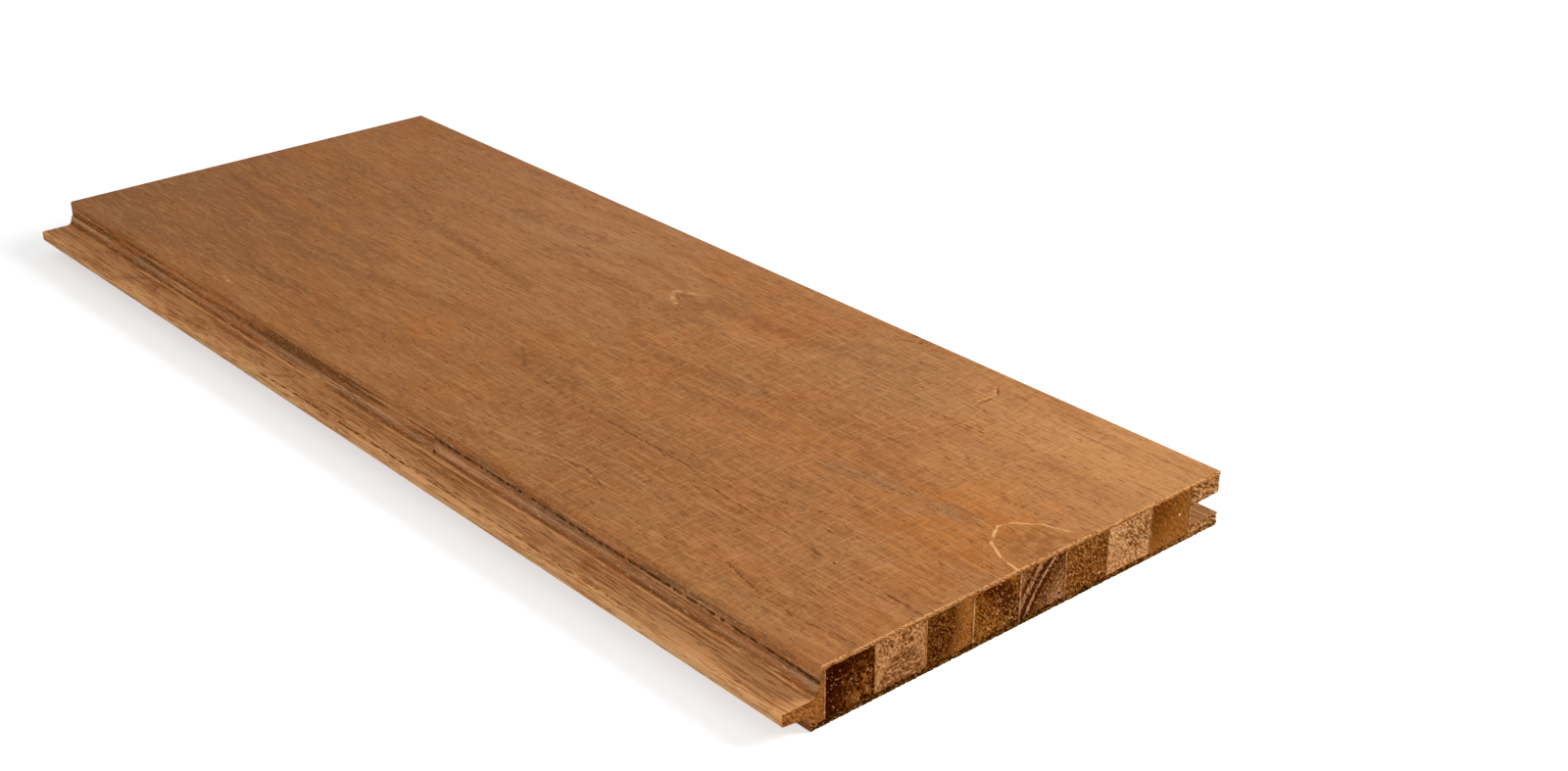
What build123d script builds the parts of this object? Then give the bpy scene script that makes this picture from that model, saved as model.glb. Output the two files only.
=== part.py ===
"""Sauna panelling board: strips of wood glued side by side between two veneers, tongued and grooved.

The board lies flat with its show face up. X runs across it, from the tongue (-X) to the groove (+X),
Y runs along the grain and Z is up. The origin is at the bottom centre of the board's box.
Everything is in millimetres.
"""
from build123d import *
import os

# Stock size
board_length = 350.0
board_thickness = 15.0
face_veneer_thickness = 1.25
back_veneer_thickness = 1.4
face_arris_radius = 0.4
back_arris_radius = 0.5

# Glued core: sawn strips of one nominal width, each a little over or under it, from tongue to groove
core_strip_width = 14.7
strip_width_errors = [-0.4, 0.4, -0.3, 0.0, 0.2, -0.3, 0.6, -0.4]
tongue_strip_land = 1.3
groove_web = 0.4

# Tongue: heights are measured up from the back, and distances out from the upper shoulder
tongue_reach = 10.4
tongue_top_height = 7.7
tongue_root_thickness = 4.0
tongue_tip_thickness = 3.2
nose_top_radius = 0.3
nose_bottom_radius = 0.7
lower_shoulder_step = 2.7

# Shoulder over the tongue: a narrow ledge at the foot of the upper shoulder, then a cheek with a cove
ledge_height = 10.4
ledge_width = 0.3
cheek_slope_run = 0.8
cove_radius = 1.2

# The tongue strip is laid up from two lengths, and this is the near one's
tongue_strip_near_length = 143.0

# Groove: the ceiling rises towards the mouth, and the lower lip is a little longer than the upper one
groove_depth = 10.2
groove_floor_height = 3.5
groove_back_opening = 5.15
groove_mouth_opening = 5.65
groove_corner_radius = 0.3
lower_lip_extra = 0.3

# Where things stand across the board
core_strip_widths = [core_strip_width + error for error in strip_width_errors]
core_width = sum(core_strip_widths)
face_width = tongue_strip_land + core_width + groove_web + groove_depth
overall_width = tongue_reach + face_width + lower_lip_extra
tongue_tip_x = -overall_width / 2
upper_shoulder_x = tongue_tip_x + tongue_reach
lower_shoulder_x = upper_shoulder_x - lower_shoulder_step
ledge_edge_x = upper_shoulder_x - ledge_width
cheek_foot_x = ledge_edge_x - cheek_slope_run
first_glue_line_x = upper_shoulder_x + tongue_strip_land
last_glue_line_x = first_glue_line_x + core_width
groove_back_x = last_glue_line_x + groove_web
upper_lip_x = groove_back_x + groove_depth
lower_lip_x = upper_lip_x + lower_lip_extra

# Where things stand in the thickness
core_bottom_z = back_veneer_thickness
core_top_z = board_thickness - face_veneer_thickness
core_height = core_top_z - core_bottom_z
tongue_tip_underside = tongue_top_height - tongue_tip_thickness
tongue_root_underside = tongue_top_height - tongue_root_thickness

# Sections are drawn on the near end, with X to the right and Z up, and run back along the board
near_end = Plane.XZ.offset(board_length / 2)
tongue_strip_joint = near_end.offset(-tongue_strip_near_length)

os.makedirs("parts", exist_ok=True)

# Face veneer: the show face, with its two long arrises eased
with BuildPart() as face_veneer:
    with BuildSketch(near_end):
        with Locations(((upper_shoulder_x + upper_lip_x) / 2, board_thickness - face_veneer_thickness / 2)):
            Rectangle(face_width, face_veneer_thickness)
    extrude(amount=-board_length)
    top_arrises = face_veneer.faces().sort_by(Axis.Z)[-1].edges().filter_by(Axis.Y)
    fillet(top_arrises, face_arris_radius)
face_veneer.part.label = "face_veneer"
export_step(face_veneer.part, "parts/face_veneer.step")

# Back veneer: it runs from the lower shoulder to the end of the lower lip, with eased long arrises
with BuildPart() as back_veneer:
    with BuildSketch(near_end):
        with Locations(((lower_shoulder_x + lower_lip_x) / 2, back_veneer_thickness / 2)):
            Rectangle(lower_lip_x - lower_shoulder_x, back_veneer_thickness)
    extrude(amount=-board_length)
    bottom_arrises = back_veneer.faces().sort_by(Axis.Z)[0].edges().filter_by(Axis.Y)
    fillet(bottom_arrises, back_arris_radius)
back_veneer.part.label = "back_veneer"
export_step(back_veneer.part, "parts/back_veneer.step")

# Tongue edge as milled: a narrow land under the face, the ledge and coved cheek, and the tapered tongue
with BuildPart() as tongue_edge:
    with BuildSketch(near_end) as tongue_section:
        with BuildLine():
            Polyline(
                (first_glue_line_x, core_bottom_z),
                (first_glue_line_x, core_top_z),
                (upper_shoulder_x, core_top_z),
                (upper_shoulder_x, ledge_height),
                (ledge_edge_x, ledge_height),
                (cheek_foot_x, tongue_top_height),
                (tongue_tip_x, tongue_top_height),
                (tongue_tip_x, tongue_tip_underside),
                (lower_shoulder_x, tongue_root_underside),
                (lower_shoulder_x, core_bottom_z),
                close=True,
            )
        make_face()
        cove_corner = tongue_section.vertices().sort_by_distance((cheek_foot_x, tongue_top_height))[0]
        fillet(cove_corner, cove_radius)
        nose_top = tongue_section.vertices().sort_by_distance((tongue_tip_x, tongue_top_height))[0]
        fillet(nose_top, nose_top_radius)
        nose_bottom = tongue_section.vertices().sort_by_distance((tongue_tip_x, tongue_tip_underside))[0]
        fillet(nose_bottom, nose_bottom_radius)
    extrude(amount=-board_length)

# Tongue strip: the length at the near end, up to the end joint
with BuildPart() as tongue_strip:
    add(tongue_edge.part)
    split(bisect_by=tongue_strip_joint, keep=Keep.TOP)
tongue_strip.part.label = "tongue_strip"
export_step(tongue_strip.part, "parts/tongue_strip.step")

# Tongue strip, far length: it butts against the near one and runs on to the far end
with BuildPart() as tongue_strip_far:
    add(tongue_edge.part)
    split(bisect_by=tongue_strip_joint, keep=Keep.BOTTOM)
tongue_strip_far.part.label = "tongue_strip_far"
export_step(tongue_strip_far.part, "parts/tongue_strip_far.step")

# Plain core strips: square-edged, glued edge to edge and to both veneers
strip_left_x = first_glue_line_x
for number, strip_width in enumerate(core_strip_widths, start=1):
    with BuildPart() as core_strip:
        with BuildSketch(near_end):
            with Locations((strip_left_x + strip_width / 2, core_bottom_z + core_height / 2)):
                Rectangle(strip_width, core_height)
        extrude(amount=-board_length)
    core_strip.part.label = f"core_strip_{number}"
    export_step(core_strip.part, f"parts/core_strip_{number}.step")
    strip_left_x += strip_width

# Groove strip: a thin web beside the last glue line carries the upper and the lower lip
with BuildPart() as groove_strip:
    with BuildSketch(near_end) as groove_section:
        with BuildLine():
            Polyline(
                (last_glue_line_x, core_bottom_z),
                (lower_lip_x, core_bottom_z),
                (lower_lip_x, groove_floor_height),
                (groove_back_x, groove_floor_height),
                (groove_back_x, groove_floor_height + groove_back_opening),
                (upper_lip_x, groove_floor_height + groove_mouth_opening),
                (upper_lip_x, core_top_z),
                (last_glue_line_x, core_top_z),
                close=True,
            )
        make_face()
        groove_back_middle = (groove_back_x, groove_floor_height + groove_back_opening / 2)
        back_corners = groove_section.vertices().sort_by_distance(groove_back_middle)[:2]
        fillet(back_corners, groove_corner_radius)
    extrude(amount=-board_length)
groove_strip.part.label = "groove_strip"
export_step(groove_strip.part, "parts/groove_strip.step")
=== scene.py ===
import math
import bpy
from mathutils import Matrix, Vector, geometry, kdtree, noise


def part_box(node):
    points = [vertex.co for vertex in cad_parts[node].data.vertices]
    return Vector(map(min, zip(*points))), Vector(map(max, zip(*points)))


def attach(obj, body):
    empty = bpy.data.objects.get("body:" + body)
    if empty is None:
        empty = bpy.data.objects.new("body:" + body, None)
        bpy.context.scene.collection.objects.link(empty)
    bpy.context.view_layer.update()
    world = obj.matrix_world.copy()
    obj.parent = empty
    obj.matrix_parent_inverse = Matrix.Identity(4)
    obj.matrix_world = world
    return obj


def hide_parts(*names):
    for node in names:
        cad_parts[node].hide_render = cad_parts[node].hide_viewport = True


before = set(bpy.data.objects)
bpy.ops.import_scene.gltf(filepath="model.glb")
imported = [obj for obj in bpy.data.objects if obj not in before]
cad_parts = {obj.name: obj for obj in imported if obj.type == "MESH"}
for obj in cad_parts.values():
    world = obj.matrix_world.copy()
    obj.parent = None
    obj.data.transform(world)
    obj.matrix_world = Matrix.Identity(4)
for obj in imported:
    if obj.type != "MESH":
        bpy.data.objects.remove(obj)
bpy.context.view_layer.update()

# ---------------------------------------------------------------------------
# Camera: it looks down at the corner where the sawn near end meets the tongue,
# so the face, the end with its strips and the whole tongue edge show together.
look = Vector((0.59605, 0.67516, -0.43460)).normalized()
upward = Vector((0.28497, 0.32815, 0.90062)).normalized()
sideways = look.cross(upward).normalized()
upward = sideways.cross(look)
lens = bpy.data.cameras.new("board_camera")
lens.sensor_width = 36.0
lens.lens = 49.13
lens.clip_start = 0.01
camera = bpy.data.objects.new("board_camera", lens)
turned = Matrix((sideways, upward, -look)).transposed().to_4x4()
camera.matrix_world = Matrix.Translation((-0.30786, -0.44458, 0.25523)) @ turned
bpy.context.collection.objects.link(camera)
bpy.context.scene.camera = camera

# ---------------------------------------------------------------------------
# Core strips: eight square-edged strips sawn from different boards, pale sapwood beside dark heartwood.
# They are glued edge to edge, and the whole board is cut off with a saw, so only their sawn ends show.
MM = 0.001
board_length = 350.0
near_y, far_y = -board_length / 2, board_length / 2


def draw_section(corners, step):
    """Points round a section, from its corners (x, z, radius) given in mm and anticlockwise."""
    rounded = []
    for i, (x, z, radius) in enumerate(corners):
        here = Vector((x, z))
        back = (Vector(corners[i - 1][:2]) - here).normalized()
        on = (Vector(corners[(i + 1) % len(corners)][:2]) - here).normalized()
        if radius == 0:
            rounded.append(here)
            continue
        half = back.angle(on) / 2
        middle = here + (back + on).normalized() * (radius / math.sin(half))
        start = here + back * (radius / math.tan(half)) - middle
        end = here + on * (radius / math.tan(half)) - middle
        sweep = start.angle_signed(end)
        pieces = max(3, int(abs(sweep) * radius / 0.1))
        for k in range(pieces + 1):
            rounded.append(middle + Matrix.Rotation(-sweep * k / pieces, 2) @ start)
    points = []
    for i, here in enumerate(rounded):
        on = rounded[(i + 1) % len(rounded)]
        pieces = max(1, round((on - here).length / step))
        points += [here.lerp(on, k / pieces) for k in range(pieces)]
    return points


def cut_length(name, section, grain, stations, sawn, planed, near=near_y, far=far_y):
    """A strip of one section, cut to a length. grain is the spacing of the points of its ends and
    stations the distances of its rings from the near end. sawn(x, z, end) and planed(x, y, z) say how far
    its ends and its long sides lie in at a point. Everything is in mm."""
    loop = len(section)
    outline = kdtree.KDTree(loop)
    for i, point in enumerate(section):
        outline.insert((point.x, point.y, 0), i)
    outline.balance()
    low_x, high_x = min(p.x for p in section), max(p.x for p in section)
    low_z, high_z = min(p.y for p in section), max(p.y for p in section)
    rows = max(1, round((high_z - low_z) / (grain * 0.866)))
    inner = []
    for row in range(1, rows):
        z = low_z + row * (high_z - low_z) / rows
        x = low_x + 0.5 * grain * (1 + row % 2)
        while x < high_x - 0.4 * grain:
            if outline.find((x, z, 0))[2] > 0.6 * grain:
                inner.append(Vector((x, z)))
            x += grain
    inward = []
    for i in range(loop):
        along = section[(i + 1) % loop] - section[i - 1]
        inward.append(Vector((-along.y, along.x)).normalized())
    rim = [(i, (i + 1) % loop) for i in range(loop)]
    flat, _, triangles, sources, _, _ = geometry.delaunay_2d_cdt(section + inner, rim, [], 1, 1e-6)

    rings = [near] + [near + s for s in stations] + [far]
    points, faces, is_end = [], [], []
    for number, y in enumerate(rings):
        for point, way in zip(section, inward):
            place = point + way * planed(point.x, y, point.y)
            if number == 0:
                y = near + sawn(point.x, point.y, 0)
            if number == len(rings) - 1:
                y = far - sawn(point.x, point.y, 1)
            points.append((place.x, y, place.y))
    for number in range(len(rings) - 1):
        here, there = number * loop, (number + 1) * loop
        for i in range(loop):
            j = (i + 1) % loop
            faces.append((here + i, there + i, there + j, here + j))
            is_end.append(0)
    for end in (0, 1):
        first = end * (len(rings) - 1) * loop
        place = {}
        for triangle in triangles:
            for i in triangle:
                if i in place:
                    continue
                rim_points = [source for source in sources[i] if source < loop]
                if rim_points:
                    place[i] = first + rim_points[0]
                    continue
                x, z = flat[i]
                place[i] = len(points)
                depth = sawn(x, z, end)
                points.append((x, far - depth if end else near + depth, z))
            around = [place[i] for i in triangle]
            faces.append(tuple(reversed(around)) if end else tuple(around))
            is_end.append(1)
    mesh = bpy.data.meshes.new(name)
    mesh.from_pydata([(x * MM, y * MM, z * MM) for x, y, z in points], [], faces)
    for polygon, sawn_face in zip(mesh.polygons, is_end):
        polygon.material_index = sawn_face
        polygon.use_smooth = True
    mesh.set_sharp_from_angle(angle=math.radians(50))
    piece = bpy.data.objects.new(name, mesh)
    bpy.context.collection.objects.link(piece)
    return piece


def ring_places(length, ends, between):
    """Distances of a length's rings from its near end: close by the two ends, evenly spaced between."""
    count = round((length - 2 * ends[-1]) / between)
    middle = [ends[-1] + (length - 2 * ends[-1]) * k / count for k in range(1, count)]
    return ends + middle + [length - e for e in reversed(ends)]


def fit(piece, part_name, long_grain, end_grain):
    """Puts a finished piece in the place of its drawn part, with its two kinds of wood surface."""
    piece.data.materials.append(long_grain)
    piece.data.materials.append(end_grain)
    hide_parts(part_name)
    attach(piece, "root")


def torn(x, z, end, rough):
    """How deep the saw has torn the end grain at a point, in mm: pits drawn out along its stroke."""
    stroke = Vector(((x + z) * 1.5, (x - z) * 0.5, 7.0 * end))
    pits = max(0.0, noise.noise(stroke * 0.9) - 0.08)
    waves = 0.5 + 0.5 * noise.noise(Vector((x * 0.25, z * 0.25, 3.0 + end)))
    fuzz = 0.5 + 0.5 * noise.noise(stroke * 2.4)
    return rough * (0.3 * waves + 1.6 * pits + 0.5 * fuzz)


def node(tree, kind, fed, **settings):
    """One shader node, its sockets fed from other nodes or set to a plain number or colour."""
    made = tree.nodes.new(kind)
    for key, value in settings.items():
        setattr(made, key, value)
    for socket, value in fed.items():
        if isinstance(value, bpy.types.NodeSocket):
            tree.links.new(value, made.inputs[socket])
        else:
            made.inputs[socket].default_value = value
    return made


def tone(red, green, blue):
    """A colour as a stain card gives it, 0 to 255, turned into what a shader wants."""
    card = [value / 255.0 for value in (red, green, blue)]
    return [v / 12.92 if v <= 0.04045 else ((v + 0.055) / 1.055) ** 2.4 for v in card] + [1.0]


def maths(tree, operation, *values, **settings):
    """One sum, worked out all over a surface."""
    return node(tree, "ShaderNodeMath", dict(enumerate(values)), operation=operation, **settings).outputs[0]


def place_maths(tree, operation, *values):
    """One sum with places, which gives a place, or a number where it measures something."""
    made = node(tree, "ShaderNodeVectorMath", dict(enumerate(values)), operation=operation)
    measures = operation in ("DISTANCE", "LENGTH", "DOT_PRODUCT")
    return made.outputs["Value" if measures else "Vector"]


def spread(tree, value, low, high, to_low=0.0, to_high=1.0):
    """A value that runs from low to high, spread over another range and held inside it."""
    ranges = {"From Min": low, "From Max": high, "To Min": to_low, "To Max": to_high}
    return node(tree, "ShaderNodeMapRange", {"Value": value, **ranges}).outputs["Result"]


def drawn_out(tree, where, size, shift=(0.0, 0.0, 0.0), turn=(0.0, 0.0, 0.0), **look):
    """Soft noise whose clouds are as wide, long and high as size says, in mm, shifted and turned."""
    placed = {"Vector": where, "Location": shift, "Rotation": turn, "Scale": size}
    placed = node(tree, "ShaderNodeMapping", placed, vector_type="TEXTURE").outputs[0]
    return node(tree, "ShaderNodeTexNoise", {"Vector": placed, "Scale": 1.0, **look}).outputs["Fac"]


def start_wood(name):
    """A new wood finish: its material, its nodes, and places on the board in mm."""
    material = bpy.data.materials.new(name)
    material.use_nodes = True
    tree = material.node_tree
    tree.nodes.clear()
    place = node(tree, "ShaderNodeTexCoord", {}).outputs["Object"]
    mm = node(tree, "ShaderNodeVectorMath", {0: place, "Scale": 1 / MM}, operation="SCALE").outputs[0]
    return {"material": material, "tree": tree, "mm": mm, "height": None}


def measured(wood, axis):
    """How far along one axis of the board a place on the wood lies, in mm."""
    return node(wood["tree"], "ShaderNodeSeparateXYZ", {"Vector": wood["mm"]}).outputs[axis]


def bands(wood, value, stops):
    """Colours the wood by a value in mm, from stops (mm, colour)."""
    lowest, highest = stops[0][0], stops[-1][0]
    share = spread(wood["tree"], value, lowest, highest)
    made = node(wood["tree"], "ShaderNodeValToRGB", {"Fac": share})
    bar = made.color_ramp
    while len(bar.elements) < len(stops):
        bar.elements.new(1.0)
    for element, (place, colour) in zip(bar.elements, stops):
        element.position = (place - lowest) / (highest - lowest)
        element.color = colour
    wood["colour"] = made.outputs["Color"]


def growth_rings(wood, pith, stops, wander=0.9):
    """Colours the wood by how far it grew from the pith (x, z), with rings that wander a little."""
    tree, mm = wood["tree"], wood["mm"]
    cloud = node(tree, "ShaderNodeTexNoise", {"Vector": mm, "Scale": 0.28, "Detail": 3.0}).outputs["Color"]
    moved = place_maths(tree, "MULTIPLY_ADD", cloud, (2 * wander,) * 3, mm)
    flat = place_maths(tree, "MULTIPLY", moved, (1.0, 0.0, 1.0))
    centre = (pith[0] + wander, 0.0, pith[1] + wander)
    bands(wood, place_maths(tree, "DISTANCE", flat, centre), stops)


def clouds(wood, size):
    """Wide soft clouds of one size, in which marks gather. A wood makes them once and then keeps them."""
    if size not in wood:
        wood[size] = spread(wood["tree"], drawn_out(wood["tree"], wood["mm"], size, Detail=1.0), 0.43, 0.57)
    return wood[size]


def scatter(wood, colour, size, cut, soft, strength, lift=0.0, tilt=0.0, seed=0.0, around=None, patches=None):
    """Scatters marks of one colour. size is a mark's x, y and z in mm, cut and soft are how rare and how
    blurred they are, strength is how well they cover the wood, lift how far they stand out in mm, tilt
    how far they lean in degrees, around (x, y, z, reach, blur) where they gather, and patches the size of
    the clouds that they come in."""
    tree = wood["tree"]
    shift = (37.0 * seed, 91.0 * seed, 53.0 * seed)
    turn = (0.0, math.radians(tilt), 0.0)
    cloud = drawn_out(tree, wood["mm"], size, shift, turn, Detail=2.0, Roughness=0.6)
    mask = spread(tree, cloud, cut, cut + soft, 0.0, strength)
    if around:
        *centre, reach, blur = around
        away = place_maths(tree, "DISTANCE", wood["mm"], centre)
        mask = maths(tree, "MULTIPLY", mask, spread(tree, away, reach, reach + blur, 1.0, 0.0))
    if patches:
        mask = maths(tree, "MULTIPLY", mask, clouds(wood, patches))
    mark(wood, colour, mask, lift)


def mark(wood, colour, mask, lift):
    """Lays a colour over the wood where a mask says, and raises or sinks the wood there."""
    tree = wood["tree"]
    mixed = node(tree, "ShaderNodeMix", {"Factor": mask, "A": wood["colour"], "B": colour}, data_type="RGBA")
    wood["colour"] = mixed.outputs["Result"]
    if lift and wood["height"]:
        wood["height"] = maths(tree, "MULTIPLY_ADD", mask, lift, wood["height"])
    elif lift:
        wood["height"] = maths(tree, "MULTIPLY", mask, lift)


def end_wood(wood, rough, gloss):
    """Closes a wood finish: bare wood with uneven roughness, and marks that catch the light."""
    tree, mm = wood["tree"], wood["mm"]
    cloud = node(tree, "ShaderNodeTexNoise", {"Vector": mm, "Scale": 0.6, "Detail": 4.0}).outputs["Fac"]
    uneven = spread(tree, cloud, 0.3, 0.7, rough - 0.08, rough + 0.08)
    bumps = node(tree, "ShaderNodeBump", {"Height": wood["height"], "Strength": 1.0, "Distance": MM})
    shader = node(tree, "ShaderNodeBsdfPrincipled", {
        "Base Color": wood["colour"],
        "Roughness": uneven,
        "Normal": bumps.outputs["Normal"],
        "Specular IOR Level": gloss,
    })
    node(tree, "ShaderNodeOutputMaterial", {"Surface": shader.outputs["BSDF"]})
    return wood["material"]


wood = start_wood("glued_side")
bands(wood, measured(wood, "Z"), [(0.0, tone(140, 96, 58)), (15.0, tone(156, 108, 66))])
scatter(wood, tone(96, 60, 32), (0.6, 30.0, 0.6), 0.5, 0.2, 0.7, lift=-0.05)
glued_side = end_wood(wood, 0.8, 0.1)


def drawn(part_name):
    """The left, right, bottom and top of a drawn part, in mm."""
    low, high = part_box(part_name)
    return low[0] / MM, high[0] / MM, low[2] / MM, high[2] / MM


def unplaned(x, y, z):
    """A side that is as flat as it was drawn."""
    return 0.0


def saw_strip(number, rough, wood):
    """One core strip between its drawn glue lines, its sawn ends a little worn at their rims."""
    part_name = f"core_strip_{number}"
    left, right, bottom, top = drawn(part_name)

    def sawn(x, z, end):
        rim = min(x - left, right - x, z - bottom, top - z)
        return 0.04 + torn(x, z, end, rough) + 0.16 * math.exp(-rim / 0.35)

    section = draw_section([(left, bottom, 0), (right, bottom, 0), (right, top, 0), (left, top, 0)], 0.25)
    rings = ring_places(board_length, [0.6, 3.0], 400.0)
    strip = cut_length(f"{part_name}_cut", section, 0.19, rings, sawn, unplaned)
    fit(strip, part_name, glued_side, end_wood(wood, 0.9, 0.0))


def torn_grain(wood, dark, light, share, seed):
    """The look of sawn end grain: dark pits and pale ridges, drawn out on a slant by the saw's teeth."""
    scatter(wood, dark, (0.55, 5.0, 1.5), 0.56 - 0.1 * share, 0.04, 0.55 + 0.35 * share, lift=-0.12, tilt=-42,
        seed=seed)
    scatter(wood, light, (0.45, 5.0, 0.9), 0.61 - 0.07 * share, 0.04, 0.45 + 0.35 * share, lift=0.1, tilt=-42,
        seed=seed + 0.5)
    scatter(wood, dark, (0.35, 5.0, 0.6), 0.57 - 0.07 * share, 0.04, 0.5 + 0.35 * share, tilt=-36,
        seed=seed + 1.0)


# Strip 1, beside the tongue: almost black heartwood, mottled with gold low down and to the right
wood = start_wood("strip_1_end")
growth_rings(wood, (-70.0, 20.0), [(8, tone(52, 14, 0)), (30, tone(62, 20, 0))])
scatter(wood, tone(134, 76, 22), (2.2, 5.0, 2.6), 0.48, 0.05, 0.9, lift=0.1, tilt=-42, seed=1.0,
    around=(-45.5, near_y, 3.0, 2.5, 8.5))
scatter(wood, tone(166, 108, 56), (1.0, 5.0, 1.2), 0.51, 0.04, 0.9, lift=0.1, tilt=-30, seed=1.4,
    around=(-45.5, near_y, 2.5, 2.5, 6.0))
scatter(wood, tone(38, 6, 0), (0.8, 5.0, 0.9), 0.51, 0.04, 0.95, lift=-0.1, seed=2.0)
scatter(wood, tone(124, 68, 22), (0.6, 5.0, 0.7), 0.53, 0.04, 0.8, lift=0.06, seed=2.5,
    around=(-46.0, near_y, 3.0, 4.0, 8.0))
scatter(wood, tone(190, 134, 88), (0.5, 5.0, 0.7), 0.63, 0.04, 0.8, lift=0.1, tilt=-50, seed=3.0)
scatter(wood, tone(70, 24, 0), (2.0, 5.0, 0.4), 0.3, 0.1, 0.8, seed=4.0,
    around=(-49.0, near_y, 14.6, 1.0, 0.6))
saw_strip(1, 0.36, wood)

# Strip 2: pale pinkish sapwood, with brown pits torn open along its top edge
wood = start_wood("strip_2_end")
growth_rings(wood, (-40.0, -60.0),
    [(55, tone(196, 140, 92)), (62, tone(190, 134, 86)), (68, tone(188, 132, 86)), (76, tone(174, 118, 72))])
scatter(wood, tone(218, 158, 102), (0.6, 5.0, 1.5), 0.54, 0.04, 0.8, lift=0.12, tilt=30, seed=1.0)
scatter(wood, tone(150, 92, 42), (0.5, 5.0, 1.2), 0.55, 0.04, 0.8, lift=-0.12, tilt=-30, seed=2.0)
scatter(wood, tone(108, 52, 12), (0.7, 5.0, 1.0), 0.55, 0.03, 1.0, lift=-0.2, tilt=-30, seed=3.2,
    around=(-35.5, near_y, 13.4, 6.0, 2.5))
scatter(wood, tone(88, 36, 6), (0.9, 5.0, 2.4), 0.36, 0.06, 0.95, lift=-0.2, tilt=-15, seed=4.0,
    around=(-36.0, near_y, 4.1, 0.4, 0.5))
scatter(wood, tone(126, 70, 26), (0.5, 5.0, 0.7), 0.6, 0.03, 0.85, lift=-0.1, seed=5.0)
scatter(wood, tone(104, 54, 16), (1.6, 5.0, 0.5), 0.46, 0.06, 0.8, lift=-0.1, seed=6.0,
    around=(-36.0, near_y, 1.9, 6.0, 1.5))
saw_strip(2, 0.3, wood)

# Strip 3: dark heartwood that ends in a curved line, with orange-brown sapwood beyond it
wood = start_wood("strip_3_end")
growth_rings(wood, (-39.1, 12.0), [(8, tone(106, 60, 20)), (11, tone(90, 44, 8)), (18.6, tone(76, 32, 0)),
    (20.6, tone(128, 78, 30)), (22.4, tone(152, 94, 38)), (26, tone(146, 86, 34))])
scatter(wood, tone(50, 14, 0), (0.6, 5.0, 0.9), 0.48, 0.04, 0.95, lift=-0.12, tilt=-40, seed=1.0,
    around=(-26.5, near_y, 8.0, 4.5, 3.0))
scatter(wood, tone(140, 84, 34), (0.5, 5.0, 0.8), 0.53, 0.04, 0.85, lift=0.12, tilt=-40, seed=2.0,
    around=(-26.0, near_y, 6.0, 6.0, 5.0))
scatter(wood, tone(186, 132, 84), (0.5, 5.0, 0.7), 0.61, 0.03, 0.8, lift=0.12, tilt=-40, seed=3.0)
scatter(wood, tone(114, 64, 22), (0.5, 5.0, 1.2), 0.54, 0.04, 0.75, lift=-0.08, tilt=-42, seed=4.0)
saw_strip(3, 0.32, wood)

# Strip 4: golden brown, crossed by a dark slanting band of growth, with golden streaks below it
wood = start_wood("strip_4_end")
growth_rings(wood, (-30.8, -9.6), [(18, tone(158, 98, 36)), (24, tone(150, 90, 30)),
    (28.4, tone(134, 76, 22)), (30.4, tone(78, 30, 0)), (33.4, tone(64, 20, 0)), (35.0, tone(106, 54, 12)),
    (37, tone(146, 90, 34)), (42, tone(150, 94, 40))])
scatter(wood, tone(156, 102, 44), (0.6, 5.0, 2.2), 0.48, 0.04, 0.9, lift=0.1, tilt=-35, seed=5.0,
    around=(-3.4, near_y, 2.8, 1.8, 4.0))
scatter(wood, tone(66, 22, 0), (0.5, 5.0, 1.3), 0.53, 0.04, 0.9, lift=-0.12, tilt=-42, seed=1.0)
scatter(wood, tone(184, 124, 64), (0.4, 5.0, 0.9), 0.58, 0.04, 0.75, lift=0.1, tilt=-42, seed=1.5)
scatter(wood, tone(62, 20, 0), (0.35, 5.0, 0.6), 0.54, 0.04, 0.8, tilt=-36, seed=2.0)
scatter(wood, tone(206, 154, 98), (0.5, 5.0, 0.9), 0.61, 0.03, 0.85, lift=0.1, tilt=-30, seed=7.0,
    around=(-6.0, near_y, 4.0, 4.0, 4.0))
saw_strip(4, 0.34, wood)

# Strip 5: its rings curve across the end in thin pale and broad dark bands
wood = start_wood("strip_5_end")
growth_rings(wood, (29.7, -10.5), [
    (18.0, tone(156, 106, 66)),
    (21.0, tone(150, 100, 58)),
    (21.6, tone(122, 76, 36)),
    (22.2, tone(160, 112, 72)),
    (23.2, tone(128, 82, 40)),
    (23.8, tone(164, 114, 76)),
    (24.6, tone(110, 66, 28)),
    (25.3, tone(150, 102, 62)),
    (26.1, tone(96, 52, 16)),
    (26.7, tone(136, 88, 44)),
    (27.2, tone(72, 30, 2)),
    (27.8, tone(124, 78, 34)),
    (28.3, tone(70, 30, 2)),
    (29.5, tone(62, 22, 0)),
    (29.8, tone(176, 128, 88)),
    (30.2, tone(182, 136, 98)),
    (30.6, tone(74, 32, 2)),
    (31.9, tone(60, 20, 0)),
    (32.2, tone(160, 112, 72)),
    (33.3, tone(166, 118, 78)),
    (33.8, tone(70, 28, 2)),
    (34.5, tone(96, 52, 16)),
    (35.6, tone(148, 100, 58)),
    (40.0, tone(140, 92, 48)),
], wander=0.35)
torn_grain(wood, tone(74, 30, 2), tone(186, 136, 92), 0.35, 1.0)
scatter(wood, tone(178, 130, 92), (1.0, 5.0, 0.9), 0.5, 0.06, 0.6, seed=5.0,
    around=(13.0, near_y, 3.2, 1.5, 2.5))
saw_strip(5, 0.28, wood)

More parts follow.
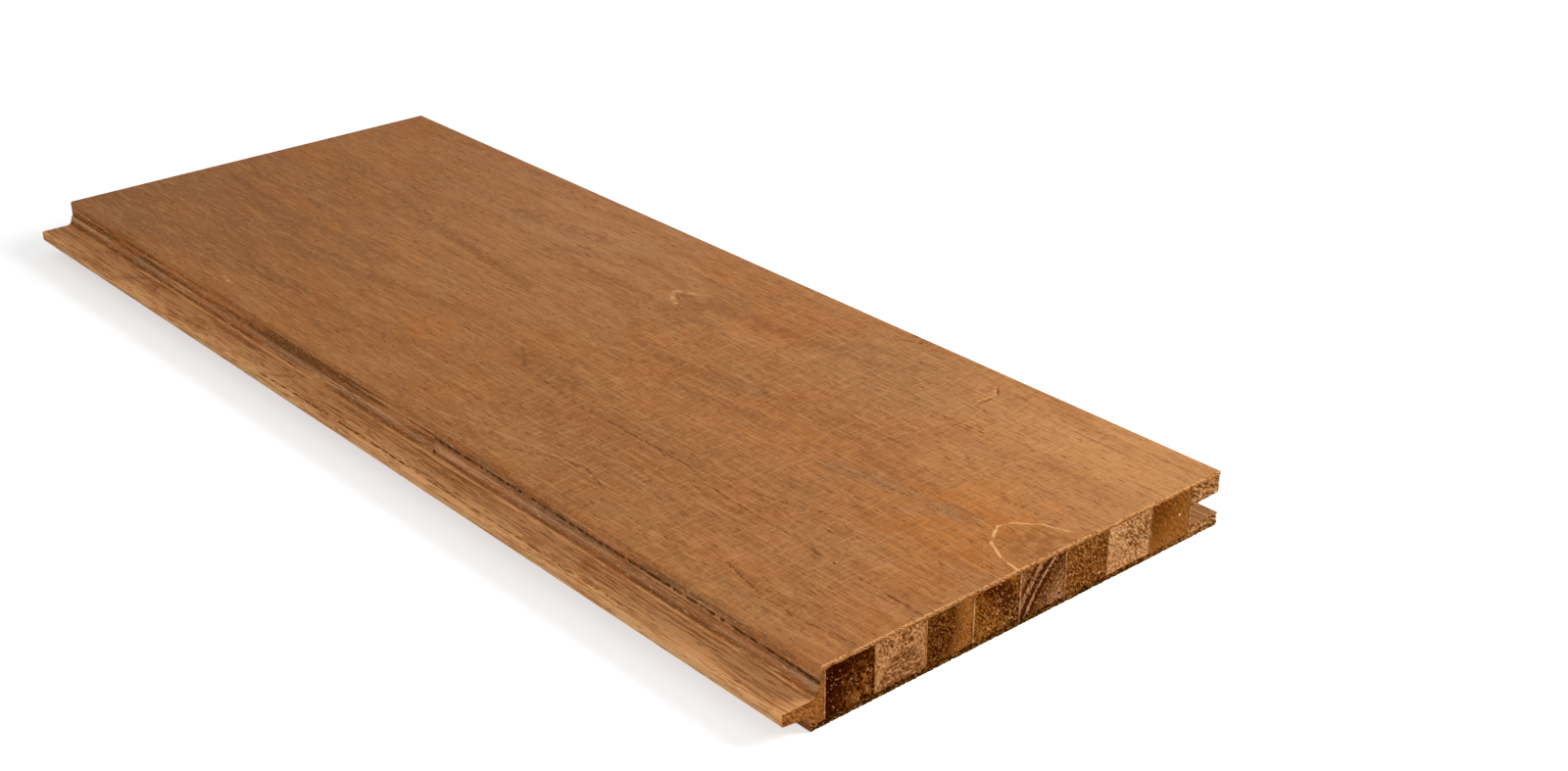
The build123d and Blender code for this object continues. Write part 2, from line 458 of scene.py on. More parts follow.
# Strip 6: even golden brown, full of dark pores that the saw has drawn out on a slant
wood = start_wood("strip_6_end")
growth_rings(wood, (60.0, -30.0),
    [(40, tone(148, 90, 38)), (50, tone(136, 80, 30)), (56, tone(152, 94, 42)), (64, tone(144, 88, 36))])
torn_grain(wood, tone(76, 30, 0), tone(206, 146, 86), 0.68, 1.0)
scatter(wood, tone(98, 50, 12), (0.8, 5.0, 2.0), 0.55, 0.05, 0.7, lift=-0.1, tilt=-28, seed=5.0)
scatter(wood, tone(232, 182, 124), (0.9, 5.0, 0.5), 0.3, 0.1, 1.0, lift=0.1, seed=3.0,
    around=(27.0, near_y, 3.2, 0.25, 0.3))
saw_strip(6, 0.32, wood)

# Strip 7: the palest one, with slanting pores gathered in its upper half
wood = start_wood("strip_7_end")
growth_rings(wood, (70.0, 60.0),
    [(50, tone(186, 134, 86)), (60, tone(194, 142, 94)), (68, tone(188, 136, 88)), (76, tone(196, 144, 96))])
scatter(wood, tone(228, 172, 118), (0.5, 5.0, 1.2), 0.54, 0.04, 0.8, lift=0.1, tilt=-40, seed=1.0)
scatter(wood, tone(112, 62, 20), (0.55, 5.0, 1.5), 0.535, 0.03, 1.0, lift=-0.15, tilt=-42, seed=2.0,
    around=(39.5, near_y, 9.0, 3.5, 5.0))
scatter(wood, tone(136, 84, 38), (0.5, 5.0, 1.1), 0.56, 0.03, 0.9, lift=-0.1, tilt=-42, seed=3.0)
scatter(wood, tone(150, 96, 48), (0.35, 5.0, 0.6), 0.55, 0.04, 0.75, tilt=-42, seed=4.0)
saw_strip(7, 0.3, wood)

# Strip 8, beside the groove: close smooth brown wood, darker up in its corner, with one pale chip
wood = start_wood("strip_8_end")
growth_rings(wood, (45.0, 17.0),
    [(3, tone(92, 44, 6)), (7, tone(106, 56, 14)), (11, tone(122, 71, 24)), (16, tone(146, 90, 40))])
scatter(wood, tone(92, 46, 8), (0.6, 5.0, 2.0), 0.52, 0.08, 0.55, lift=-0.05, tilt=-38, seed=1.0)
scatter(wood, tone(164, 102, 46), (0.5, 5.0, 1.4), 0.56, 0.06, 0.6, lift=0.05, tilt=-38, seed=2.0)
scatter(wood, tone(84, 40, 6), (0.4, 5.0, 0.6), 0.58, 0.04, 0.6, lift=-0.06, seed=4.0)
scatter(wood, tone(236, 188, 132), (0.6, 5.0, 0.6), 0.3, 0.1, 1.0, lift=0.1, seed=3.0,
    around=(55.1, near_y, 8.2, 0.2, 0.25))
saw_strip(8, 0.2, wood)

# ---------------------------------------------------------------------------
# Glue lines: hard pale glue left in the joints of the core. It fills each joint from veneer to veneer,
# is thicker where two strips didn't quite meet, and shows as a fine ragged line on the sawn ends.
wood = start_wood("hard_glue")
bands(wood, measured(wood, "Z"), [(1.0, tone(150, 96, 42)), (3.5, tone(176, 122, 66)),
    (12.0, tone(182, 128, 72)), (14.0, tone(150, 98, 46))])
scatter(wood, tone(130, 76, 30), (0.8, 4.0, 1.2), 0.5, 0.06, 0.75, lift=-0.05, seed=1.0)
scatter(wood, tone(214, 164, 108), (0.8, 4.0, 0.9), 0.58, 0.06, 0.7, lift=0.05, seed=2.0)
glue = end_wood(wood, 0.6, 0.2)
glue_widths = [0.42, 0.16, 0.14, 0.42, 0.46, 0.34, 0.12, 0.1, 0.24]
glue_places = [drawn("core_strip_1")[0]] + [drawn(f"core_strip_{n}")[1] for n in range(1, 9)]
glue_bottom, glue_top = 1.45, 13.7
for number, (width, middle) in enumerate(zip(glue_widths, glue_places), start=1):
    left, right = middle - width / 2, middle + width / 2
    section = draw_section([
        (left, glue_bottom, 0),
        (right, glue_bottom, 0),
        (right, glue_top, 0),
        (left, glue_top, 0),
    ], 0.12)
    film = cut_length(
        f"glue_line_{number}", section, 0.12, ring_places(board_length, [1.0], 400.0),
        lambda x, z, end: 0.06 + 0.08 * noise.noise((x * 2.0, z * 0.9, 9.0 * end)),
        lambda x, y, z: 0.36 * width * (0.5 + noise.noise((x * 0.5, z * 0.8, number))))
    film.data.materials.append(glue)
    film.data.materials.append(glue)
    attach(film, "root")

# ---------------------------------------------------------------------------
# Tongue strip: the core's edge strip, moulded to a narrow land, a ledge, a coved cheek and the tapered
# tongue with its rounded nose. It is laid up from two lengths that butt end to end, and the near one is
# split along its grain under the face.
tip, glued, core_bottom, core_top = drawn("tongue_strip")
joint_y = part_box("tongue_strip")[1][1] / MM
shoulder = tip + 10.4
lower_shoulder = shoulder - 2.7
ledge_z = 10.4
tongue_top = 7.7
section = draw_section([
    (glued, core_bottom, 0),
    (glued, core_top, 0),
    (shoulder, core_top, 0),
    (shoulder, ledge_z, 0),
    (shoulder - 0.3, ledge_z, 0),
    (shoulder - 1.1, tongue_top, 1.2),
    (tip, tongue_top, 0.3),
    (tip, 4.5, 0.7),
    (lower_shoulder, 3.7, 0),
    (lower_shoulder, core_bottom, 0),
], 0.16)
split_path = [(near_y, 10.9), (-158.0, 11.3), (-126.0, 11.6), (-94.0, 11.7), (-78.0, 11.9),
    (joint_y, 11.9)]
split_width, split_depth = 0.15, 0.4
joint_width, joint_depth = 0.25, 0.1


def streak(wood, colour, points, width, soft, strength, lift=0.0, wander=0.5):
    """Draws one line of figure, or one split, through points (x, y, z) in mm. width is its core and soft
    its blurred edge in mm, strength is how well it covers the wood, lift how far it stands out in mm and
    wander how far it strays. It also breaks off here and there."""
    tree, mm = wood["tree"], wood["mm"]
    if "wandering" not in wood:
        ragged = {"Vector": mm, "Scale": 0.5, "Detail": 3.0, "Roughness": 0.7}
        wood["wandering"] = node(tree, "ShaderNodeTexNoise", ragged).outputs["Color"]
        breaks = node(tree, "ShaderNodeTexNoise", {"Vector": mm, "Scale": 0.5, "Detail": 2.0}).outputs["Fac"]
        wood["breaks"] = spread(tree, breaks, 0.42, 0.54, 0.15, 1.0)
    here = place_maths(tree, "MULTIPLY_ADD", wood["wandering"], (2 * wander,) * 3, mm)
    nearest = None
    for start, end in zip(points, points[1:]):
        first = Vector(start) + Vector((wander,) * 3)
        run = Vector(end) - Vector(start)
        out = place_maths(tree, "SUBTRACT", here, first)
        along = place_maths(tree, "DOT_PRODUCT", out, run / run.length_squared)
        along = node(tree, "ShaderNodeClamp", {"Value": along}).outputs[0]
        foot = node(tree, "ShaderNodeVectorMath", {0: run, "Scale": along}, operation="SCALE").outputs[0]
        away = place_maths(tree, "DISTANCE", out, foot)
        nearest = away if nearest is None else maths(tree, "MINIMUM", nearest, away)
    mask = spread(tree, nearest, width / 2, width / 2 + soft, strength, 0.0)
    mark(wood, colour, maths(tree, "MULTIPLY", mask, wood["breaks"]), lift)


def moulded(x, y, z):
    """What the cutters leave along the tongue and its cheek: raised grain, the end joint and the split."""
    if x > glued - 0.2 or z > core_top - 0.15 or z < core_bottom + 0.1:
        return 0.0
    ridge = 0.5 + 0.5 * noise.noise(Vector((x * 1.1, y * 0.018, z * 1.1)))
    fuzz = 0.5 + 0.5 * noise.noise(Vector((x * 2.3, y * 0.2, z * 2.3 + 40.0)))
    depth = (0.16 if z < tongue_top + 0.05 else 0.06) * (0.6 * ridge + 0.4 * fuzz)
    depth += joint_depth * math.exp(-((y - joint_y) / joint_width) ** 2)
    if x > shoulder - 0.05 and y < joint_y:
        for (y_1, z_1), (y_2, z_2) in zip(split_path, split_path[1:]):
            if y_1 <= y <= y_2:
                line = z_1 + (z_2 - z_1) * (y - y_1) / (y_2 - y_1)
                line += 0.12 * noise.noise(Vector((3.0, y * 0.08, 0.0)))
                depth += split_depth * math.exp(-((z - line) / split_width) ** 2)
    return depth


def broken_end(x, z, end):
    """The tongue breaks out under the saw: fibres are lost behind its top edge, near the cheek. The
    other end of each length is planed true for the joint."""
    depth = 0.05 + torn(x, z, end, 0.45)
    if x < shoulder + 0.2:
        gone = math.exp(-((x - shoulder + 3.2) / 1.5) ** 2 - (z - tongue_top) ** 2)
        gone += 0.7 * math.exp(-((x - shoulder + 0.9) / 0.7) ** 2 - ((z - 8.3) / 0.9) ** 2)
        gone += 0.6 * math.exp(-((x - shoulder + 9.0) / 1.1) ** 2 - ((z - 4.6) / 0.9) ** 2)
        depth += gone * (1.3 + 0.8 * noise.noise(Vector((x * 1.4, z * 1.4, 5.0 * end))))
    return depth


def tongue_wood(name, wall, seed):
    """Long grain of the tongue strip: pale nose and grey-brown cheek, with painted light on it: painted shade
    low down under the tongue, a top and nose arris made brighter to stand in for the key light that the board
    keeps off them, and a painted shade line at the cheek's foot in the cove.
    """
    wood = start_wood(name)
    bands(wood, measured(wood, "Z"), [
        # painted shade: darker low down, on the lower shoulder under the overhang of the tongue
        (1.4, tone(112, 68, 30)),
        (4.2, tone(150, 104, 56)),
        (5.2, tone(200, 154, 104)),
        # painted light: the top and the rounded arris above the nose are made brighter than the wood,
        # standing in for the key light that the board shades off them
        (7.2, tone(206, 154, 102)),
        (7.5, tone(228, 164, 106)),
        (7.74, tone(226, 162, 104)),
        # painted shade: a dark line at the foot of the cheek, in the concave cove above the tongue top
        (8.0, tone(122, 74, 34)),
        (8.6, tone(124, 78, 42)),
        (9.1, tone(156, 114, 80)),
        (10.3, tone(164, 122, 88)),
        *wall,
    ])
    scatter(wood, tone(226, 164, 108), (1.4, 40.0, 1.4), 0.5, 0.12, 0.5, lift=0.04, seed=seed)
    scatter(wood, tone(150, 90, 42), (0.8, 30.0, 0.8), 0.53, 0.05, 0.6, lift=-0.06, seed=seed + 1)
    scatter(wood, tone(178, 104, 54), (1.2, 9.0, 1.2), 0.5, 0.06, 0.6, seed=seed + 2,
        patches=(9.0, 30.0, 9.0))
    scatter(wood, tone(224, 172, 120), (0.4, 3.0, 0.4), 0.6, 0.05, 0.5, lift=0.04, seed=seed + 3)
    scatter(wood, tone(118, 66, 26), (0.4, 6.0, 0.4), 0.58, 0.05, 0.6, lift=-0.04, seed=seed + 4)
    scatter(wood, tone(214, 162, 110), (0.3, 1.0, 0.3), 0.6, 0.05, 0.5, seed=seed + 5)
    return wood


wood = tongue_wood("tongue_long_grain",
    [(10.5, tone(138, 100, 68)), (11.6, tone(126, 88, 56)), (13.8, tone(124, 86, 54))], 1.0)
streak(wood, tone(84, 46, 16), [(shoulder, y, z) for y, z in split_path], 0.3, 0.45, 1.5, wander=0.12)
streak(wood, tone(104, 54, 18),
    [(tip + 1.6, -120.0, tongue_top), (tip + 1.5, -60.0, tongue_top), (tip + 1.4, joint_y, tongue_top)],
    0.15, 0.3, 0.9, wander=0.3)
streak(wood, tone(70, 30, 4), [(shoulder - 0.4, joint_y - 4.0, 8.3), (shoulder - 0.4, joint_y, 8.6)],
    0.5, 0.4, 1.5, wander=0.1)
near_grain = end_wood(wood, 0.7, 0.05)
wood = tongue_wood("tongue_far_grain",
    [(10.45, tone(120, 78, 40)), (11.4, tone(108, 66, 30)), (13.8, tone(112, 70, 36))], 11.0)
streak(wood, tone(104, 54, 18),
    [(tip + 1.4, joint_y, tongue_top), (tip + 1.3, 12.0, tongue_top), (tip + 0.5, 37.0, tongue_top)],
    0.25, 0.3, 1.2, wander=0.3)
streak(wood, tone(150, 96, 52), [(shoulder - 2.0, 28.0, tongue_top), (tip, 38.0, tongue_top)],
    0.5, 1.2, 0.5, wander=0.4)
streak(wood, tone(144, 90, 48), [(shoulder - 1.5, 118.0, tongue_top), (tip, 126.0, tongue_top)],
    0.6, 1.2, 0.5, wander=0.4)
far_grain = end_wood(wood, 0.7, 0.05)
wood = start_wood("tongue_end_grain")
growth_rings(wood, (-30.0, -60.0),
    [(60, tone(172, 108, 54)), (66, tone(160, 98, 46)), (72, tone(166, 104, 50)), (80, tone(156, 96, 46))])
torn_grain(wood, tone(116, 60, 20), tone(196, 136, 78), 0.4, 1.0)
scatter(wood, tone(92, 40, 6), (1.2, 5.0, 0.8), 0.46, 0.06, 0.9, lift=-0.15, seed=6.0,
    around=(-62.6, near_y, 7.2, 0.6, 0.8))
sawn_end = end_wood(wood, 0.9, 0.0)
planed_true = 0.01
near_tongue = cut_length(
    "tongue_strip_run", section, 0.2, ring_places(joint_y - near_y, [0.25, 0.5, 1.0], 2.0),
    lambda x, z, end: planed_true if end else broken_end(x, z, end), moulded, far=joint_y)
fit(near_tongue, "tongue_strip", near_grain, sawn_end)
far_tongue = cut_length(
    "tongue_strip_far_run", section, 0.2, ring_places(far_y - joint_y, [0.25, 0.5, 1.0], 2.0),
    lambda x, z, end: broken_end(x, z, end) if end else planed_true, moulded, near=joint_y)
fit(far_tongue, "tongue_strip_far", far_grain, sawn_end)

# ---------------------------------------------------------------------------
# Groove strip: the other edge strip, ploughed out with a groove that a tongue like the one opposite
# slides into. A thin web is left beside the last glue line, with a shorter upper and a longer lower lip.
web, lower_lip = drawn("groove_strip")[:2]
upper_lip = lower_lip - 0.3
groove_back = web + 0.4
section = draw_section([
    (web, core_bottom, 0),
    (lower_lip, core_bottom, 0),
    (lower_lip, 3.5, 0),
    (groove_back, 3.5, 0.3),
    (groove_back, 8.65, 0.3),
    (upper_lip, 9.15, 0),
    (upper_lip, core_top, 0),
    (web, core_top, 0),
], 0.2)


def ploughed(x, y, z):
    """The raised grain that the groove cutter leaves on the lips and in the groove."""
    if x < web + 0.2 or z > core_top - 0.15 or z < core_bottom + 0.1:
        return 0.0
    return 0.05 * (1.0 + noise.noise(Vector((x * 1.1, y * 0.018, z * 1.1))))


groove = cut_length(
    "groove_strip_run", section, 0.2, ring_places(board_length, [0.4, 1.5], 4.0),
    lambda x, z, end: 0.05 + torn(x, z, end, 0.4), ploughed)
wood = start_wood("groove_long_grain")
# painted shade: the tone is darkest at z 7, inside the groove
bands(wood, measured(wood, "Z"),
    [(1.4, tone(160, 108, 60)), (7.0, tone(140, 90, 46)), (14.0, tone(166, 114, 66))])
scatter(wood, tone(198, 146, 92), (1.2, 40.0, 1.2), 0.52, 0.1, 0.6, lift=0.03, seed=1.0)
scatter(wood, tone(112, 66, 30), (0.7, 26.0, 0.7), 0.54, 0.06, 0.6, lift=-0.05, seed=2.0)
scatter(wood, tone(212, 162, 108), (0.45, 3.0, 0.45), 0.6, 0.05, 0.6, lift=0.05, seed=3.0)
long_grain = end_wood(wood, 0.65, 0.15)
wood = start_wood("groove_end_grain")
growth_rings(wood, (90.0, -60.0),
    [(64, tone(166, 114, 66)), (70, tone(154, 102, 54)), (78, tone(164, 112, 64))])
scatter(wood, tone(92, 46, 12), (1.7, 5.0, 0.75), 0.52, 0.03, 0.9, lift=-0.12, tilt=22, seed=1.0)
scatter(wood, tone(202, 152, 100), (1.5, 5.0, 0.7), 0.54, 0.03, 0.85, lift=0.1, tilt=22, seed=2.0)
scatter(wood, tone(100, 52, 16), (0.8, 5.0, 0.5), 0.58, 0.03, 0.8, seed=3.0)
fit(groove, "groove_strip", long_grain, end_wood(wood, 0.9, 0.0))

# ---------------------------------------------------------------------------
# Face veneer: the show face, sliced thin and glued down over the whole width from shoulder to lip. The
# planer has left fine marks across the grain, and its long edges are eased and its sawn edges crisp.
left, right, bottom, top = drawn("face_veneer")
arris = 0.4
section = draw_section([(left, bottom, 0), (right, bottom, 0), (right, top, arris), (left, top, arris)], 0.4)


def face_end(x, z, end):
    """The sawn end of the face: a hair's round at the top edge, and fibres torn below it."""
    radius = 0.15
    drop = max(0.0, z - (top - radius))
    edge = radius - math.sqrt(max(0.0, radius ** 2 - drop ** 2))
    chipped = 0.2 * max(0.0, noise.noise(Vector((x * 0.9, 2.0, 11.0 * end))))
    return edge + chipped + torn(x, z, end, 0.24)


def on_face(*points):
    """Points (x, y) in mm, laid on the show face."""
    return [(x, y, top) for x, y in points]


def sanded(x, y, z):
    """The face isn't dead flat: low ripples from the planer."""
    if z < bottom + 0.1:
        return 0.0
    ripple = 0.5 + 0.5 * noise.noise(Vector((x * 0.12, y * 0.01, 1.0)))
    return 0.03 * ripple


face = cut_length("face_veneer_sheet", section, 0.2, ring_places(board_length, [0.3, 1.0, 3.0], 6.0),
    face_end, sanded)
wood = start_wood("face_long_grain")
drift = node(wood["tree"], "ShaderNodeTexNoise",
    {"Vector": wood["mm"], "Scale": 0.014, "Detail": 1.0}).outputs["Color"]
drift = place_maths(wood["tree"], "MULTIPLY_ADD", drift, (60.0, 0.0, 0.0), wood["mm"])
cloud = drawn_out(wood["tree"], drift, (9.0, 130.0, 16.0), Detail=3.0, Roughness=0.5)
bands(wood, cloud, [(0.32, tone(152, 98, 56)), (0.42, tone(164, 106, 60)), (0.5, tone(170, 111, 63)),
    (0.58, tone(167, 112, 67)), (0.68, tone(176, 119, 70))])
scatter(wood, tone(180, 106, 46), (12.0, 30.0, 12.0), 0.48, 0.2, 0.4, seed=1.0)
scatter(wood, tone(184, 108, 42), (9.0, 18.0, 9.0), 0.36, 0.2, 0.7, seed=1.5,
    around=(8.0, -152.0, top, 10.0, 20.0))
# Partly painted light: these patches are partly the veneer's own uneven tone and partly a painted falloff of
# the key lamp, lighter to the right and the near end, darker to the left and the far end.
scatter(wood, tone(206, 150, 96), (14.0, 60.0, 14.0), 0.3, 0.25, 0.6, seed=1.7,
    around=(68.0, -150.0, top, 14.0, 60.0))
scatter(wood, tone(178, 130, 92), (14.0, 80.0, 14.0), 0.3, 0.25, 0.6, seed=1.9,
    around=(80.0, 60.0, top, 20.0, 90.0))
scatter(wood, tone(136, 90, 56), (16.0, 70.0, 16.0), 0.3, 0.2, 0.6, seed=2.1,
    around=(-60.0, 170.0, top, 30.0, 120.0))
scatter(wood, tone(148, 94, 54), (14.0, 60.0, 14.0), 0.3, 0.2, 0.5, seed=2.3,
    around=(-55.0, -60.0, top, 25.0, 60.0))
scatter(wood, tone(166, 116, 74), (8.0, 40.0, 8.0), 0.3, 0.1, 0.6, seed=2.5,
    around=(50.0, -82.0, top, 14.0, 18.0))
scatter(wood, tone(132, 88, 54), (1.6, 70.0, 1.6), 0.52, 0.1, 0.3, seed=2.7)
scatter(wood, tone(126, 78, 38), (0.8, 18.0, 0.8), 0.52, 0.07, 0.26, lift=-0.02, seed=3.0)
scatter(wood, tone(124, 76, 36), (6.0, 0.8, 6.0), 0.52, 0.06, 0.26, lift=-0.02, seed=4.0,
    around=(0.0, -95.0, top, 60.0, 70.0))
scatter(wood, tone(200, 144, 90), (0.6, 10.0, 0.6), 0.55, 0.05, 0.35, seed=5.0)
scatter(wood, tone(204, 148, 94), (5.0, 0.7, 5.0), 0.55, 0.06, 0.26, seed=6.0,
    around=(0.0, -95.0, top, 60.0, 70.0))
scatter(wood, tone(206, 152, 100), (0.5, 0.9, 0.5), 0.61, 0.04, 0.45, lift=0.03, seed=8.0)
scatter(wood, tone(98, 54, 22), (0.45, 3.5, 0.45), 0.61, 0.04, 0.6, lift=-0.04, seed=9.0)
pale, dark, shade = tone(222, 168, 110), tone(104, 58, 24), tone(132, 84, 46)
scatter(wood, tone(134, 82, 40), (3.0, 3.0, 3.0), 0.42, 0.15, 0.6, seed=12.0,
    around=(10.0, -170.0, top, 4.0, 7.0))
streak(wood, pale, on_face((20.7, -172.5), (18.2, -165.0), (13.2, -159.5), (9.5, -158.5)),
    0.1, 0.5, 0.8, lift=0.03, wander=0.6)
streak(wood, pale, on_face((9.5, -158.5), (3.2, -162.5), (0.0, -168.8), (-1.2, near_y)),
    0.25, 0.4, 1.2, lift=0.04, wander=0.5)
streak(wood, dark, on_face((62.3, -108.6), (58.5, -112.3), (53.5, -111.7), (50.4, -112.2), (49.8, -117.0)),
    0.1, 0.5, 1.0, lift=-0.03, wander=0.9)
streak(wood, pale, on_face((62.6, -107.6), (58.5, -111.2), (53.5, -110.7), (50.6, -111.2)),
    0.1, 0.5, 0.5, lift=0.03, wander=0.9)
streak(wood, dark, on_face((67.0, -76.0), (64.6, -71.0), (62.6, -69.0)), 0.15, 0.6, 1.0, wander=0.8)
streak(wood, dark, on_face((41.0, -124.0), (40.4, -112.0), (39.6, -99.0)), 0.05, 0.4, 1.2, wander=1.2)
streak(wood, tone(150, 114, 84), on_face((6.0, -150.0), (2.0, -112.0)), 1.5, 3.0, 0.35, wander=2.0)
streak(wood, dark, on_face((5.5, -148.0), (4.0, -128.0), (1.0, -108.0)), 0.05, 0.4, 1.2, wander=1.6)
streak(wood, dark, on_face((-30.0, near_y), (-29.3, -142.0), (-28.0, -107.0), (-24.8, -88.0), (-25.0, -42.0),
    (-22.0, -18.0), (-15.5, -7.5)), 0.1, 0.45, 1.0, wander=1.2)
streak(wood, shade, on_face((-20.0, -34.0), (-19.0, -12.0)), 5.0, 4.0, 0.5, wander=2.0)
streak(wood, dark, on_face((-14.0, -132.0), (-19.0, -120.0), (-22.0, -108.0)), 0.1, 0.4, 1.0, wander=1.4)
streak(wood, dark, on_face((-48.0, near_y), (-50.5, -160.0), (-50.5, -146.0), (-46.8, -130.0)),
    0.1, 0.4, 0.9, wander=1.2)
streak(wood, dark, on_face((-46.8, -85.0), (-44.2, -75.0), (-45.5, -67.0), (-50.5, -57.0), (-54.0, -50.0)),
    0.1, 0.4, 1.0, wander=0.8)
streak(wood, tone(186, 132, 84), on_face((-45.5, -67.0), (-49.0, -45.0), (-54.0, -25.0)),
    0.2, 0.6, 0.8, wander=0.8)
streak(wood, shade, on_face((52.0, -87.0), (44.5, -55.0), (41.5, -25.0), (42.5, -14.0)),
    1.5, 3.0, 0.55, wander=2.0)
streak(wood, shade, on_face((27.0, -22.0), (31.0, 0.0), (29.5, 45.0)), 1.5, 3.0, 0.5, wander=2.0)
streak(wood, shade, on_face((48.0, 37.0), (42.0, 77.0)), 1.5, 3.0, 0.5, wander=2.0)
streak(wood, shade, on_face((9.5, 25.0), (13.5, 60.0), (18.0, 95.0), (21.0, 115.0)),
    0.8, 2.0, 0.6, wander=1.6)
streak(wood, shade, on_face((-10.5, 70.0), (-12.0, 110.0), (-15.5, 150.0)), 3.0, 4.0, 0.45, wander=2.4)
scatter(wood, tone(136, 90, 50), (3.0, 8.0, 3.0), 0.4, 0.2, 0.5, seed=13.0,
    around=(37.5, -20.0, top, 4.0, 8.0))
streak(wood, pale, on_face((42.5, -11.0), (39.3, -4.6), (36.4, -6.4), (34.0, -11.5)),
    0.5, 0.9, 0.65, lift=0.03, wander=0.5)
streak(wood, tone(128, 74, 32), on_face((40.0, -10.5), (38.0, -7.0), (35.0, -12.0)),
    0.2, 0.6, 0.8, wander=0.5)
streak(wood, pale, on_face((-53.0, 85.0), (-52.2, 89.4)), 0.5, 0.6, 0.9, lift=0.05, wander=0.4)
long_grain = end_wood(wood, 0.65, 0.05)
wood = start_wood("face_end_grain")
# painted highlight: the bright band at the very top (z 14.85) runs along the rounded top edge of the sawn end
bands(wood, measured(wood, "Z"), [(13.7, tone(104, 54, 14)), (13.9, tone(168, 108, 54)),
    (14.1, tone(120, 66, 24)), (14.25, tone(188, 126, 72)), (14.7, tone(196, 136, 82)),
    (14.85, tone(212, 154, 98)), (15.0, tone(194, 136, 82))])
scatter(wood, tone(108, 60, 22), (1.1, 5.0, 0.4), 0.53, 0.05, 0.7, lift=-0.08, tilt=20, seed=1.0)
scatter(wood, tone(200, 148, 98), (1.0, 5.0, 0.35), 0.55, 0.05, 0.7, lift=0.08, tilt=20, seed=2.0)
fit(face, "face_veneer", long_grain, end_wood(wood, 0.9, 0.0))

# ---------------------------------------------------------------------------
# Back veneer: a darker, rougher sheet glued over the back to balance the face, from the lower shoulder
# to the end of the lower lip.
left, right, bottom, top = drawn("back_veneer")
arris = 0.5
section = draw_section([(left, bottom, arris), (right, bottom, arris), (right, top, 0), (left, top, 0)], 0.4)
back = cut_length(
    "back_veneer_sheet", section, 0.2, ring_places(board_length, [0.3, 1.0, 3.0], 6.0),
    lambda x, z, end: 0.02 + torn(x, z, end, 0.5), unplaned)
wood = start_wood("back_long_grain")
cloud = drawn_out(wood["tree"], wood["mm"], (12.0, 120.0, 12.0), Detail=5.0, Roughness=0.6, Distortion=0.3)
bands(wood, cloud, [(0.3, tone(88, 52, 24)), (0.5, tone(112, 70, 36)), (0.7, tone(136, 90, 50))])
scatter(wood, tone(70, 38, 14), (0.9, 40.0, 0.9), 0.52, 0.1, 0.6, lift=-0.04, seed=1.0)
scatter(wood, tone(160, 112, 66), (0.8, 14.0, 0.8), 0.58, 0.1, 0.5, lift=0.04, seed=2.0)
scatter(wood, tone(52, 26, 8), (0.5, 4.5, 0.5), 0.62, 0.05, 0.6, lift=-0.06, seed=3.0)
long_grain = end_wood(wood, 0.75, 0.15)
wood = start_wood("back_end_grain")
bands(wood, measured(wood, "X"), [(-62.3, tone(92, 50, 10)), (-20.0, tone(104, 58, 14)),
    (38.0, tone(112, 64, 18)), (50.0, tone(158, 104, 48)), (70.0, tone(176, 120, 66))])
scatter(wood, tone(50, 18, 0), (1.5, 5.0, 0.8), 0.48, 0.05, 0.85, lift=-0.15, tilt=20, seed=1.0)
scatter(wood, tone(160, 106, 46), (1.1, 5.0, 0.6), 0.55, 0.05, 0.75, lift=0.12, tilt=20, seed=2.0)
scatter(wood, tone(42, 14, 0), (0.6, 5.0, 0.5), 0.56, 0.05, 0.8, lift=-0.1, seed=3.0)
fit(back, "back_veneer", long_grain, end_wood(wood, 0.92, 0.0))

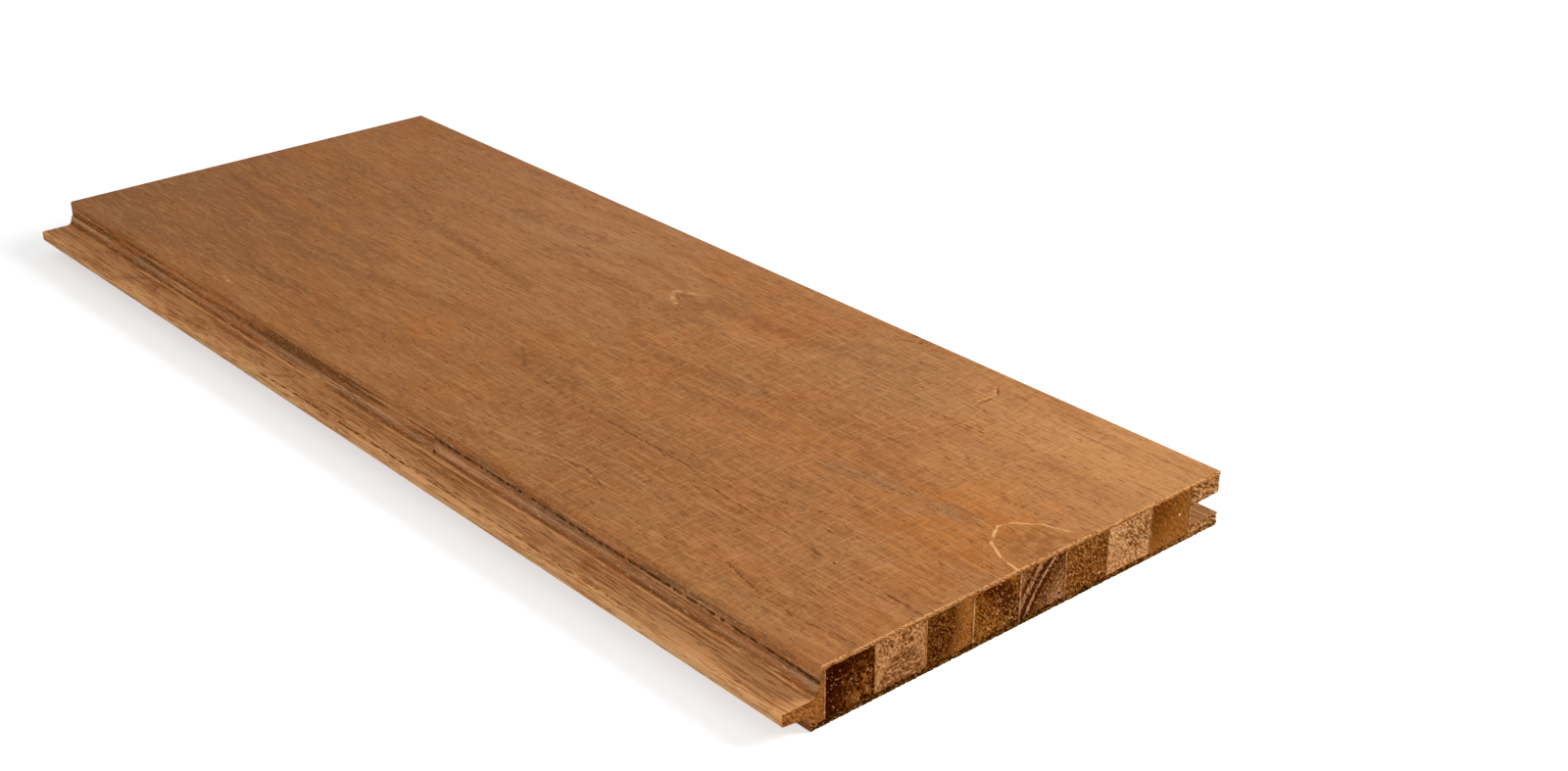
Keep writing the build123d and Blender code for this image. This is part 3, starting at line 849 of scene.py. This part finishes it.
# ---------------------------------------------------------------------------
# Floor and studio light: a plain pale table, a large soft lamp to the right of the camera, a weaker
# one to its left for the tongue edge, and a white room all round.
def straight_rays(tree):
    """1 for what the camera sees, in itself or in a gloss, and 0 for the light that falls on the board."""
    ray = node(tree, "ShaderNodeLightPath", {}).outputs
    seen = maths(tree, "ADD", ray["Is Camera Ray"], ray["Is Glossy Ray"])
    return maths(tree, "ADD", seen, ray["Is Transmission Ray"], use_clamp=True)


bpy.ops.mesh.primitive_plane_add(size=6.0, location=(0.0, 0.0, 0.0))
floor = bpy.context.object
floor.name = "floor"
table = bpy.data.materials.new("pale_floor")
table.use_nodes = True
tree = table.node_tree
tree.nodes.clear()
seen = straight_rays(tree)
away = place_maths(tree, "LENGTH", node(tree, "ShaderNodeTexCoord", {}).outputs["Object"])
white = spread(tree, away, 0.35, 1.0, 0.5, 0.75)
seen = maths(tree, "MULTIPLY", seen, white)
pure_white = (1.0, 1.0, 1.0, 1.0)
matt = node(tree, "ShaderNodeBsdfDiffuse", {"Color": (0.8, 0.8, 0.8, 1.0)})
glow = node(tree, "ShaderNodeEmission", {"Color": pure_white, "Strength": seen})
both = node(tree, "ShaderNodeAddShader", {0: matt.outputs[0], 1: glow.outputs[0]})
node(tree, "ShaderNodeOutputMaterial", {"Surface": both.outputs[0]})
floor.data.materials.append(table)

world = bpy.data.worlds.new("white_room")
bpy.context.scene.world = world
world.use_nodes = True
tree = world.node_tree
tree.nodes.clear()
white = node(tree, "ShaderNodeBackground", {"Color": pure_white, "Strength": 1.0})
light = node(tree, "ShaderNodeBackground", {"Color": pure_white, "Strength": 0.36})
room = node(tree, "ShaderNodeMixShader", {0: straight_rays(tree), 1: light.outputs[0], 2: white.outputs[0]})
node(tree, "ShaderNodeOutputWorld", {"Surface": room.outputs[0]})


def soft_lamp(name, place, wide, high, watts):
    """A soft rectangular lamp that faces the board."""
    box = bpy.data.lights.new(name, "AREA")
    box.shape = "RECTANGLE"
    box.size = wide
    box.size_y = high
    box.energy = watts
    lamp = bpy.data.objects.new(name, box)
    lamp.location = place
    lamp.rotation_euler = (-Vector(place)).to_track_quat("-Z", "Y").to_euler()
    bpy.context.collection.objects.link(lamp)


soft_lamp("key_softbox", (0.52, -0.42, 0.40), 0.45, 0.35, 5.5)
soft_lamp("fill_softbox", (-0.80, -0.50, 0.34), 0.7, 0.4, 4.0)
bpy.context.scene.view_settings.view_transform = "Standard"
